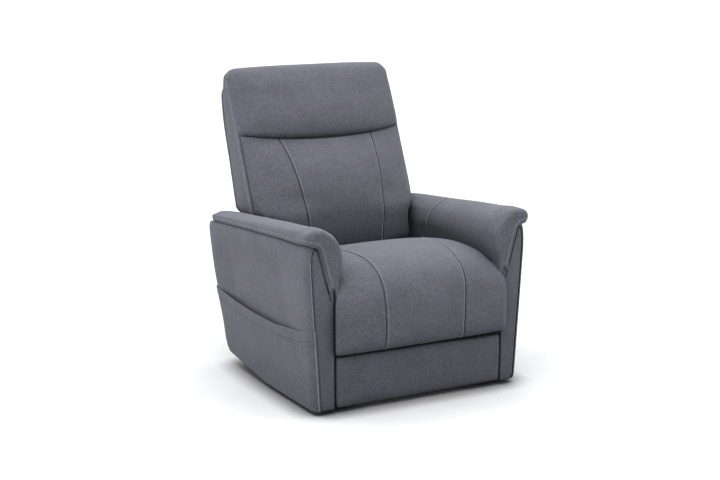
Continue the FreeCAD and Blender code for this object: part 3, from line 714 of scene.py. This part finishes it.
# arm pads: a loft along the arm joined to the tail that wraps down the front
for side in (1, -1):
    nm = "left" if side > 0 else "right"

    def sec(v):
        lowz = np.interp(v, [-10, 0, 76, 203, 381, 580, 795, 830], [593, 592, 581, 577, 565, 553, 536, 531])   # lower outer edge
        topz = np.interp(v, [-10, 0, 60, 113, 279, 455, 675, 734, 830], [633, 639, 640, 633, 621, 605, 587, 580, 568])
        inz = topz - 86
        q_ = 15.0 * (max(0.0, 38.0 - v) / 47.0) ** 2
        q2 = 8.0 * float(sstep(v, 500, 590))
        return [(424, lowz - 2), (437, lowz + 4), (441.5, lowz + 15), (441, lowz + 28), (434, topz - 9), (417, topz - 2.5), (396, topz), (370, topz - 4), (345 + q_ * 0.8, topz - 15 - q_ * 0.3),
                (321 + q_, topz - 34 - q_ * 0.3), (307 + q_ * 0.8 + q2 * 0.5, topz - 60), (301 + q_ * 0.4 + q2, inz), (303.5 + q2, min(508.0, inz - 12)), (310 + q2 * 0.7, min(484.0, inz - 34)), (317.5, 455), (320.5, 430), (321, 404),
                (330, 400), (334, 440), (337, 500), (345, lowz - 34), (390, lowz - 14)]
    loops = []
    vs = np.r_[np.linspace(-9, 12, 6), np.linspace(12, 780, 96)[1:], np.linspace(780, 803, 8)[1:]]
    for v in vs:
        lp = spline(sec(float(v)), 120, True)
        c = lp.mean(0)
        g = 1.0
        if v < 10:
            g = 1 - 0.13 * (1 - math.sqrt(max(1 - ((10 - v) / 19.5) ** 2, 0)))
        if v > 772:
            q = (v - 772) / 31.0
            g = 1 - 0.55 * (1 - math.sqrt(max(1 - q ** 2, 0.0)))
        lp = c + (lp - c) * g
        loops.append(np.stack([side * lp[:, 0], np.full(len(lp), v), lp[:, 1]], 1))
    main = loft("m", loops, FAB, flip=side < 0)
    # tail
    st_z = [632, 622, 610, 596, 586, 578, 560, 535, 510, 490, 470, 452, 436, 424]
    inn = [372, 353, 336, 322, 315, 311, 306, 304.5, 306, 311, 321, 331.5, 341, 348]
    outr = [418, 426, 428, 425, 408, 398, 391.5, 383, 376, 371, 365, 360.5, 356.5, 353.5]
    loops = []
    zz = np.linspace(632, 424, 52)
    for z in zz:
        a = float(interp(z, st_z, inn)); b_ = float(interp(z, st_z, outr))
        c = (a + b_) / 2; w = (b_ - a) / 2
        dv = 22.0 * min(1.0, 0.35 + w / 40.0)
        vc = -9.0 + dv
        pts = []
        r = min(w, dv) * 0.8
        for cx, cy, a0 in ((w - r, dv - r, 0), (-(w - r), dv - r, 90), (-(w - r), -(dv - r), 180), (w - r, -(dv - r), 270)):
            for t in np.linspace(0, 90, 7):
                pts.append((cx + r * math.cos(math.radians(a0 + t)), cy + r * math.sin(math.radians(a0 + t))))
        R = resample(np.array(pts), 64, True)
        loops.append(np.stack([side * (c + R[:, 0]), vc + R[:, 1], np.full(64, z)], 1))
    tail = loft("t", loops, FAB)
    pad = join([main, tail], "arm_pad_cover_" + nm)
    remesh(pad, 4.2, 3)
    co = get(pad); nn_ = normals(pad)
    low_edge = np.interp(co[:, 1], [-10, 0, 76, 203, 381, 580, 795, 830], [593, 592, 581, 577, 565, 553, 536, 531])
    pin = np.ones(len(co))
    free = (co[:, 2] > low_edge + 20) & (np.abs(co[:, 0]) < 434)
    free |= (np.abs(co[:, 0]) < 320) & (co[:, 2] > 505) & (co[:, 1] > 25) & (co[:, 1] < 520)
    pin[free] = 0.0
    puff(pad, pin, frames=12, pressure=2.0, cap=6.0, keep=0.7)
    subdivide(pad, 1)
    ARM[side] += (pad,)

PADL = {}
for side in (1, -1):
    ob, seam, pad = ARM[side]
    nm = "left" if side > 0 else "right"
    bv_pad = tree(pad); bv_arm = tree(ob)
    edge_z = lambda v: np.interp(v, [-10, 0, 76, 203, 381, 580, 795, 830], [593, 592, 581, 577, 565, 553, 536, 531])
    rows = []
    edge = spline([(433, 589), (424, 588), (412, 586), (402, 582), (394, 571), (388.5, 552), (380, 521), (371.5, 489), (364, 462), (357, 438), (353, 424)], 120)
    for up in (10, 17):
        t_ = np.gradient(edge, axis=0); t_ /= np.linalg.norm(t_, axis=1)[:, None]
        off = edge + np.stack([t_[:, 1], -t_[:, 0]], 1) * (-up)
        off = edge + np.stack([-np.abs(t_[:, 1]), np.abs(t_[:, 0])], 1) * up
        off[-14:] = edge[-14:] + (off[-15] - edge[-15]) * np.linspace(1, 0.35, 14)[:, None]
        off = spline(off[::8], 90)
        a = [(side * 442, v, float(edge_z(v)) + up + 1) for v in np.linspace(792, 10, 120)]
        c_ = [(side * 438, 0, 591 + up), (side * 434, -6, 590 + up)]
        rows.append(np.vstack([resample(np.array(a), 110), c_, [(side * x, -12.0, z) for x, z in off[2:-3]]]))
    for k, rpath in enumerate(rows):
        ps = on_surface(rpath, bv_pad)[0]
        groove(pad, ps, depth=0.9, sigma=2.0, ridge=0.25)
    bv_pad = tree(pad)
    PADL[side] = [stitches("arm_pad_topstitch_%s_%d" % (nm, k), rpath, bv_pad, THREAD, pitch=8.6, r=0.75) for k, rpath in enumerate(rows)]
    # shaped seam over the inner face of the pad, near the back
    q = spline([(side * 398, 470, 640), (side * 372, 455, 640), (side * 345, 446, 630), (side * 322, 446, 605), (side * 306, 450, 570), (side * 301, 452, 530), (side * 306, 453, 495)], 60)
    q = on_surface(q, bv_pad)[0]
    groove(pad, q, depth=2.0, sigma=2.4, ridge=0.6, fade=0.06)
    # painted shade: a near-black cord in the inner pad seam groove
    PADL[side].append(seam_shade_cord("arm_inner_seam_shade_" + nm, on_surface(q, tree(pad), 0.1)[0]))
    q2 = q.copy(); q2[:, 1] += 6.5
    PADL[side].append(stitches("arm_inner_topstitch_" + nm, q2, tree(pad), THREAD, pitch=7.8))
    # topstitch beside the front outer seam
    s2 = seam[2:-6].copy(); s2[:, 0] += side * 6.5
    PADL[side].append(stitches("arm_front_topstitch_" + nm, s2, bv_arm, THREAD, pitch=8.0))
    # welt along the front edge of the pad
    wl = spline([(side * x, -6.0, z) for x, z in ((430, 590), (420, 587), (409, 585.5), (400, 582), (394, 571), (388.5, 552), (380, 521), (371.5, 489), (364, 462), (357, 438), (352, 424))], 80)
    wl = on_surface(wl, bv_pad, 0.6)[0]
    PADL[side].append(tube("arm_pad_welt_" + nm, wl, 1.8, WELT_PAINTED_HIGHLIGHT))
    # painted shadow: a near-black cord under the front lip of the pad
    wo = spline([(side * (x + 3.4), -1.0, z - 1.5) for x, z in ((409, 584.0), (401, 580), (394, 568), (388.5, 550), (380, 520), (371.5, 488), (364, 461), (357, 437), (352, 423), (349, 411), (346, 399))], 70)
    PADL[side].append(seam_shade_cord("arm_pad_shadow_seam_" + nm, on_surface(wo, bv_arm, 0.3)[0], r=1.7))
    # faint shaped stitch line on the side panel near the back
    q = spline([(side * 440, 700, 520), (side * 438, 683, 470), (side * 434, 664, 400), (side * 430, 643, 335)], 40)
    PADL[side].append(stitches("arm_side_stitch_" + nm, q, bv_arm, DTHREAD, pitch=8.0, length=4.2, r=0.75, lift=0.15))

# side pocket on the sitter's right
MV = [-12, 12, 65, 264, 433, 612, 800, 830]
MZ = [309, 300, 285, 265, 266, 272, 287, 290]
grid_o, grid_i = [], []
NS, NZp = 170, 60
for i in range(NZp):
    t = i / (NZp - 1)
    ro, ri = [], []
    for j in range(NS):
        u = j / (NS - 1)
        z0 = 150.0
        for _ in range(3):
            tot = 3.0 + Q1 + (float(v_rear(z0)) - RV1 - R2) + math.pi / 2 * R2
            s_ = u * tot
            x, v, n = arm_side(s_, z0, 0, -1)
            zm = float(np.interp(v, MV, MZ)); zb = float(zbot(v)) + 1.0
            z0 = zb + t * (zm - zb)
        along = math.sin(math.pi * min(max((u - 0.02) / 0.96, 0), 1)) ** 0.6
        bow = 1.4 + 3.4 * along * float(sstep(t, 0.0, 0.5)) + 2.8 * math.exp(-((v - 456.0) / 120.0) ** 2) * float(sstep(t, 0.0, 0.35))
        # hang from the straight side line, not from its recessed one
        xo2, vo2, n2 = arm_side(s_, z0, bow, 1)
        hem = 0.9 * float(sstep(t, 0.80, 0.83))
        lip = 1.0 if t < 0.985 else 0.55
        ro.append((-(xo2 + n2[0] * hem * lip), vo2 + n2[1] * hem * lip, z0))
        ri.append((-(xo2 - n2[0] * 2.2 * lip), vo2 - n2[1] * 2.2 * lip, z0))
    grid_o.append(ro); grid_i.append(ri)
Vv = [p for r in grid_o for p in r] + [p for r in grid_i for p in r]
F = []
o2 = NS * NZp
for i in range(NZp - 1):
    for j in range(NS - 1):
        a = i * NS + j
        F.append((a, a + 1, a + NS + 1, a + NS)); F.append((o2 + a, o2 + a + NS, o2 + a + NS + 1, o2 + a + 1))
for j in range(NS - 1):
    F.append((j, o2 + j, o2 + j + 1, j + 1))
    a = (NZp - 1) * NS + j
    F.append((a, a + 1, o2 + a + 1, o2 + a))
for i in range(NZp - 1):
    a = i * NS
    F.append((a, a + NS, o2 + a + NS, o2 + a))
    a = i * NS + NS - 1
    F.append((a, o2 + a, o2 + a + NS, a + NS))
pocket = make("side_pocket_cover", Vv, F, FAB)
fix_normals(pocket)
subdivide(pocket, 1)
bvp = tree(pocket)
hempath = [(-440, v, float(np.interp(v, MV, MZ)) - 40) for v in np.linspace(4, 790, 140)]
hp = on_surface(hempath, bvp)[0]
groove(pocket, hp, depth=1.2, sigma=2.2, ridge=0.3)
hemst = stitches("pocket_hem_stitch", hp, tree(pocket), DTHREAD, pitch=7.5, length=4.6, r=0.7, lift=0.2)
seamp = [(-(float(xout(z)) - R1 + 5.5), -6.0, z) for z in np.linspace(22, 298, 50)]
pst = stitches("pocket_front_topstitch", seamp, tree(pocket), THREAD, pitch=8.0)

# ------------------------------------------------------------------ back


def vf(z):
    return 849.0 - 0.443 * (1092.0 - z)


def Dz(z):
    return interp(z, [430, 470, 490, 530, 580, 630, 680, 730, 780, 820, 845, 870, 900, 950, 1095], [38, 47, 55, 70, 88, 98, 102, 97, 80, 52, 28, 10, 2, 0, 0])


def Wz(z):
    w = np.interp(z, [430, 470, 500, 518, 534, 548, 560, 570, 580, 592, 1100], [296, 302, 305, 307, 311, 317, 325, 333, 339, 341, 341])
    return w - (38.0 - np.sqrt(np.maximum(38.0 ** 2 - np.clip(np.asarray(z, float) - 1056.0, 0, 38.0) ** 2, 0)))


def vr(z):
    return np.interp(z, [352, 573, 650, 752, 863, 969, 998, 1036, 1068, 1080, 1088], [705, 774, 799, 831, 870, 893, 893, 889, 882, 874, 866])


loops = []
zs = np.r_[np.linspace(440, 1050, 112), 1056, 1062, 1068, 1073, 1077, 1081, 1084, 1086.5, 1088]
for i, z in enumerate(zs):
    W = float(Wz(z)); e = min(i, len(zs) - 1 - i)
    sh = 20.0 * (1 - math.sqrt(1 - (1 - i / 6.0) ** 2)) if i < 6 else 0
    if z > 1060:
        sh = 14.0 * ((z - 1060) / 28.0) ** 2
    W -= sh * 0.5
    f0, r0, D = float(vf(z)), float(vr(z)), float(Dz(z))
    rc = 13.0 + 9.0 * (1.0 - float(sstep(z, 560, 660)))
    xs = np.linspace(-(W - rc), W - rc, 120)
    u = np.abs(xs) / W
    ex = 2.6 + 2.6 * (1.0 - float(sstep(z, 520, 640)))
    front = f0 - D * (1 - u ** ex) ** 0.9 + sh
    lp = [(x, v) for x, v in zip(xs, front)]
    for t in np.linspace(0, 90, 7)[1:]:
        a = math.radians(t)
        lp.append((W - rc + rc * math.sin(a), f0 + sh + rc - rc * math.cos(a)))
    for v in np.linspace(f0 + sh + rc, r0 - 10, 24)[1:]:
        k = (v - f0 - rc) / (r0 - f0)
        lp.append((W + 2.0 * math.sin(math.pi * min(max(k, 0), 1)), v))
    for x in np.linspace(W - 5, -(W - 5), 60):
        lp.append((x, r0 - 2))
    for v in np.linspace(r0 - 10, f0 + sh + rc, 24):
        k = (v - f0 - rc) / (r0 - f0)
        lp.append((-(W + 2.0 * math.sin(math.pi * min(max(k, 0), 1))), v))
    for t in np.linspace(90, 0, 7)[1:-1]:
        a = math.radians(t)
        lp.append((-(W - rc + rc * math.sin(a)), f0 + sh + rc - rc * math.cos(a)))
    lp = np.array(lp)
    zc = z + 0 * lp[:, 0]
    loops.append(np.stack([lp[:, 0], lp[:, 1], zc], 1))
lumbar = loft("back_cushion_cover", loops, FAB)


def lumbar_seam(sgn):
    pr = [(440, 152), (490, 154), (530, 158), (580, 162), (630, 167), (680, 172), (730, 178), (780, 184), (830, 192), (875, 204)]
    return spline([(sgn * x, float(vf(z)) - float(Dz(z)) * (1 - (x / 341.0) ** 2.6) ** 0.9, z) for z, x in pr], 90)


co = get(lumbar); pin = np.zeros(len(co))
for sg in (1, -1):
    d, _ = path_dist(co, lumbar_seam(sg))
    pin = np.maximum(pin, np.where(d < 5, 1.0, np.where(d < 12, 0.4, 0)))
pin[co[:, 1] > vf(co[:, 2]) - 6] = 1.0
pin[(co[:, 2] < 455) | (co[:, 2] > 862)] = 1.0
puff(lumbar, pin, frames=16, pressure=3.0, cap=11.0, keep=0.85)
subdivide(lumbar, 1)
BACKP = [lumbar]
for sg in (1, -1):
    q = on_surface(lumbar_seam(sg), tree(lumbar))[0]
    groove(lumbar, q, depth=3.2, sigma=3.2, ridge=0.9)
    # painted shade: a near-black cord in the back seam groove
    BACKP.append(seam_shade_cord("back_seam_shade_" + ("left" if sg > 0 else "right"), on_surface(q, tree(lumbar), 0.1)[0]))
    q2 = q.copy(); q2[:, 0] -= sg * 7.0
    BACKP.append(stitches("back_topstitch_" + ("left" if sg > 0 else "right"), q2[:-2], tree(lumbar), THREAD))
    # corner seam between the face and the side boxing
    c_ = np.array([(sg * (float(Wz(z)) - 3.0), float(vf(z)) + 3.5, z) for z in np.linspace(505, 1052, 130)])
    c_ = on_surface(c_, tree(lumbar))[0]
    groove(lumbar, c_, depth=2.6, sigma=2.6, ridge=0.8)
    # painted shade: a near-black cord in the corner seam groove
    BACKP.append(seam_shade_cord("back_corner_seam_shade_" + ("left" if sg > 0 else "right"), on_surface(c_, tree(lumbar), 0.2)[0]))
    for k, off in enumerate((14, 21)):
        b_ = np.array([(sg * (float(Wz(z)) + 2), float(vf(z)) + 3.5 + off, z) for z in np.linspace(560, 1048, 110)])
        BACKP.append(stitches("back_boxing_stitch_%s_%d" % ("left" if sg > 0 else "right", k), b_, tree(lumbar), THREAD, pitch=7.6, length=4.4, r=0.7))

# headrest roll
prof = [(742, 872), (727, 863), (714, 868), (707, 884), (712, 915), (728, 955), (750, 1000), (776, 1043), (806, 1074), (836, 1089), (862, 1094), (884, 1087), (897, 1068),
        (898, 1045), (893, 1026), (876, 1010), (862, 985), (852, 950), (838, 900), (815, 868), (780, 862)]
prof = np.array(prof, float)
prof[:, 1] += 5.0 * sstep(prof[:, 1], 1020, 1080)
prof[:, 0] -= 13.0 * np.exp(-((prof[:, 1] - 925.0) / 62.0) ** 2) * (prof[:, 0] < 800)
pc = np.array([810.0, 965.0])
side_prof = np.array([(764, 872), (752, 864), (746, 868), (747, 882), (760, 915), (779, 955), (799, 1000), (818, 1040), (834, 1064), (848, 1078), (864, 1082), (880, 1076), (890, 1062),
                      (892, 1045), (889, 1028), (876, 1010), (862, 985), (852, 950), (838, 900), (815, 868), (785, 864)], float)
side_prof[:, 1] += 8.0 * sstep(side_prof[:, 1], 1015, 1070)
side_prof[:, 0] += 3.0 * (side_prof[:, 0] < vf(side_prof[:, 1]) + 30)
loops = []
NX = 150
for i in range(NX):
    t = -1 + 2 * i / (NX - 1)
    # even spacing in the middle, closer at the rounded sides
    ang = t * math.pi / 2
    xx = 340.6 * (0.45 * t + 0.55 * math.sin(ang))
    u = abs(xx) / 340.6
    k = u ** 3.4
    P_ = prof * (1 - k) + side_prof * k
    low_ = -(30.0 * (1 - u ** 2.2) + 6.0 * u ** 2.2) * (1 - sstep(P_[:, 1], 850, 955))
    P_ = P_ + np.stack([low_ * 0.443, low_], 1)
    dr = 40.0 - math.sqrt(40.0 ** 2 - min(max(abs(xx) - 301.0, 0), 39.6) ** 2)
    P_[:, 1] -= dr * np.clip((P_[:, 1] - 990) / 104.0, 0, 1)
    lp = spline(P_, 150, True)
    c = lp.mean(0)
    e = max(0.0, (abs(xx) - 322.0) / 18.7)
    g = 1 - 0.34 * (1 - math.sqrt(max(1 - e ** 2, 0)))
    # top corners fall away
    T_, N_ = np.array([0.405, 0.914]), np.array([-0.914, 0.405])
    lp2 = c + np.outer((lp - c) @ T_, T_) * (1 - (1 - g) * 0.05) + np.outer((lp - c) @ N_, N_) * g
    loops.append(np.stack([np.full(len(lp2), xx), lp2[:, 0], lp2[:, 1]], 1))
head = loft("headrest_cover", loops, FAB)
co = get(head); pin = np.zeros(len(co))
pin[(np.abs(co[:, 0]) > 322) | (co[:, 1] > vf(co[:, 2]) + 60)] = 1.0
pin[(co[:, 2] < 858) & (co[:, 1] > vf(co[:, 2]) - 22)] = 1.0
puff(head, pin, frames=14, pressure=2.4, cap=8.0, keep=0.8)
subdivide(head, 1)
BACKP.append(head)
# painted shadow: a near-black cord, thickest in the middle, laid along the crease under the headrest roll where its
# overhang shades the back cushion
hz = lambda x: 868.0 - (30.0 * (1 - (abs(x) / 340.6) ** 2.2) + 6.0 * (abs(x) / 340.6) ** 2.2) - 5.0
hp_ = [(x, float(vf(hz(x))) - float(Dz(hz(x))) * (1 - (abs(x) / 341.0) ** 2.6) ** 0.9, float(hz(x))) for x in np.linspace(-336, 336, 90)]
hp_ = on_surface(hp_, tree(lumbar), 0.3)[0]
BACKP.append(tube("headrest_overhang_shade", hp_, [1.2, 1.6, 2.6, 3.6, 4.0, 3.6, 2.6, 1.6, 1.2], PAINTED_SEAM_SHADE, 8))

# outer back shell: wraps the frame from behind, up to its rounded top edge
OUTL = [(721, 352), (757, 460), (792, 573), (820, 660), (849, 752), (871, 815), (888, 863), (902, 915), (911, 969), (911.5, 1000), (904, 1022), (893, 1031)]
INL = [(706, 352), (741, 460), (776, 573), (803, 660), (833, 752), (854, 815), (871, 863), (884, 915), (893, 969), (893, 1000), (889, 1018), (884, 1026)]
so = spline(OUTL, 90); si = spline(INL, 90)
loops = []
for i in range(90):
    z = (so[i, 1] + si[i, 1]) / 2
    W = float(np.interp(z, [352, 515, 538, 556, 568, 580], [284, 284, 296, 320, 334, 340])) - 0.5
    if z > 990:
        W -= 26.0 * (1 - math.sqrt(max(1 - ((z - 990) / 42.0) ** 2, 0)))
    o, n_ = so[i], si[i]
    dd = o - n_; h = np.linalg.norm(dd) / 2; nrm = dd / (2 * h); c = (o + n_) / 2
    r = min(h * 0.9, 8.0)
    pts = []
    for cx, cy, a0 in ((W - r, h - r, 0), (-(W - r), h - r, 90), (-(W - r), -(h - r), 180), (W - r, -(h - r), 270)):
        for t in np.linspace(0, 90, 6):
            pts.append((cx + r * math.cos(math.radians(a0 + t)), cy + r * math.sin(math.radians(a0 + t))))
    R = resample(np.array(pts), 220, True)
    u = np.abs(R[:, 0]) / W
    y = R[:, 1] + np.where(R[:, 1] > 0, 0.0 * u, 0)
    loops.append(np.stack([R[:, 0], c[0] + nrm[0] * y, c[1] + nrm[1] * y], 1))
shell = loft("back_shell_cover", loops, FAB)
subdivide(shell, 1)
BACKP.append(shell)
for sg in (1, -1):
    q = [(sg * (float(np.interp(z, [352, 515, 538, 556, 568, 580], [284, 284, 296, 320, 334, 340])) - 22), float(np.interp(z, [p[1] for p in OUTL[:10]], [p[0] for p in OUTL[:10]])) + 2, z) for z in np.linspace(380, 990, 120)]
    q = on_surface(q, tree(shell))[0]
    groove(shell, q, depth=1.2, sigma=2.2, ridge=0.4)
    BACKP.append(stitches("back_shell_stitch_" + ("left" if sg > 0 else "right"), q + np.array([-sg * 6.0, 0, 0]), tree(shell), THREAD, pitch=7.0, length=4.4, r=0.6))

# cloth apron that closes the gap between the seat and the back as the back goes down
ap = spline([(506, 398), (520, 396), (536, 404), (550, 420), (560, 438), (564, 452)], 30)
loops = []
for p, q in zip(ap, np.gradient(ap, axis=0)):
    q = q / np.linalg.norm(q); n_ = np.array([-q[1], q[0]])
    r4 = [(264, 1), (-264, 1), (-264, -1), (264, -1)]
    sec_ = resample(np.array([(x, y * 1.2) for x, y in r4]), 60, True)
    loops.append(np.stack([sec_[:, 0], p[0] + n_[0] * sec_[:, 1], p[1] + n_[1] * sec_[:, 1]], 1))
apron = loft("seat_to_back_apron", loops, LINING)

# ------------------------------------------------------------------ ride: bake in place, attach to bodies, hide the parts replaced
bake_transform(seat)
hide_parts("seat_cushion", "legrest_pad")
for s in st + seat_shade_cords:
    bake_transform(s)
part(low, "legrest", ["lower_front_panel"])
part(lower_gap_shade_box, "legrest")
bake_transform(apron)
for side in (1, -1):
    nm = "left" if side > 0 else "right"
    ob, seam, pad = ARM[side]
    part(ob, "chair", ["arm_outer_panel_" + nm, "arm_front_panel_" + nm])
    part(pad, "chair", ["arm_pad_" + nm])
    for s in PADL[side]:
        part(s, "chair")
part(pocket, "chair", ["side_pocket"])
part(hemst, "chair"); part(pst, "chair")
part(lumbar, "back", ["lumbar_cushion"])
part(head, "back", ["headrest_cushion"])
part(shell, "back", ["back_shell"])
for s in BACKP:
    if s not in (lumbar, head, shell):
        part(s, "back")

# ------------------------------------------------------------------ floor, light, camera
bpy.ops.mesh.primitive_plane_add(size=80, location=(0, 10, 0))
floor = bpy.context.object; floor.name = "floor"
fm, nt, b = mat_new("pale_floor")
b.inputs["Roughness"].default_value = 0.85
n_ = noise_node(nt, nt.nodes.new("ShaderNodeTexCoord").outputs["Object"], 6, 2)
# painted shadow: an ambient-occlusion term darkens the floor colour next to the chair's base, a painted contact shadow
painted_shade_ao = nt.nodes.new("ShaderNodeAmbientOcclusion"); painted_shade_ao.samples = 8; painted_shade_ao.inputs["Distance"].default_value = 0.085
x = ramp(nt, n_.outputs[0], [(0.3, (0.355, 0.355, 0.36)), (0.7, (0.375, 0.375, 0.38))]).outputs[0]
x = mix(nt, x, ramp(nt, painted_shade_ao.outputs["AO"], [(0.35, (0.10, 0.10, 0.11)), (0.75, (0.62, 0.62, 0.63)), (0.96, (1, 1, 1))]).outputs[0], 1.0, "MULTIPLY")
nt.links.new(x, b.inputs["Base Color"])
floor.data.materials.append(fm)

w = bpy.data.worlds.new("studio"); bpy.context.scene.world = w; w.use_nodes = True
wt = w.node_tree
bg = wt.nodes["Background"]; bg.inputs[0].default_value = (0.985, 0.99, 1.0, 1)
tc = wt.nodes.new("ShaderNodeTexCoord"); sp = wt.nodes.new("ShaderNodeSeparateXYZ")
wt.links.new(tc.outputs["Generated"], sp.inputs[0])


def wmath(op, a, b=None):
    n = wt.nodes.new("ShaderNodeMath"); n.operation = op
    for i, v in enumerate((a, b)):
        if v is None:
            continue
        if isinstance(v, (int, float)):
            n.inputs[i].default_value = v
        else:
            wt.links.new(v, n.inputs[i])
    return n.outputs[0]


# a studio dome: white at the horizon, brighter overhead, with a broad soft box on the upper left
up = wmath("MAXIMUM", sp.outputs[2], 0.0)
zen = wmath("MULTIPLY", wmath("POWER", up, 2.0), 4.2)
ld = Vector((-0.84, 0.50, 0.16)).normalized()
dt = wmath("ADD", wmath("ADD", wmath("MULTIPLY", sp.outputs[0], ld.x), wmath("MULTIPLY", sp.outputs[1], ld.y)), wmath("MULTIPLY", sp.outputs[2], ld.z))
lobe = wmath("MULTIPLY", wmath("POWER", wmath("MAXIMUM", dt, 0.0), 6.0), 2.6)
wt.links.new(wmath("ADD", wmath("ADD", zen, lobe), 1.02), bg.inputs[1])

kl = bpy.data.lights.new("soft_key", "AREA"); kl.shape = "RECTANGLE"; kl.size, kl.size_y = 1.6, 1.6; kl.energy = 14
ko = bpy.data.objects.new("soft_key", kl); COL.objects.link(ko); ko.location = (-1.6, -1.0, 3.2)
ko.rotation_euler = (Vector((0, 0, 0.5)) - ko.location).to_track_quat("-Z", "Y").to_euler()

cam_d = bpy.data.cameras.new("cam"); cam_d.lens = 71.2; cam_d.sensor_width = 36.0
cam = bpy.data.objects.new("cam", cam_d); COL.objects.link(cam)
az, el = math.radians(-28.70), math.radians(12.06)
back = Vector((math.sin(az) * math.cos(el), -math.cos(az) * math.cos(el), math.sin(el)))
cam.location = (-2.4587, -4.0562 - YC, 1.5794)
cam.rotation_euler = back.to_track_quat("Z", "Y").to_euler()
cam_d.clip_end = 60
bpy.context.scene.camera = cam
bpy.context.scene.view_settings.view_transform = "Standard"
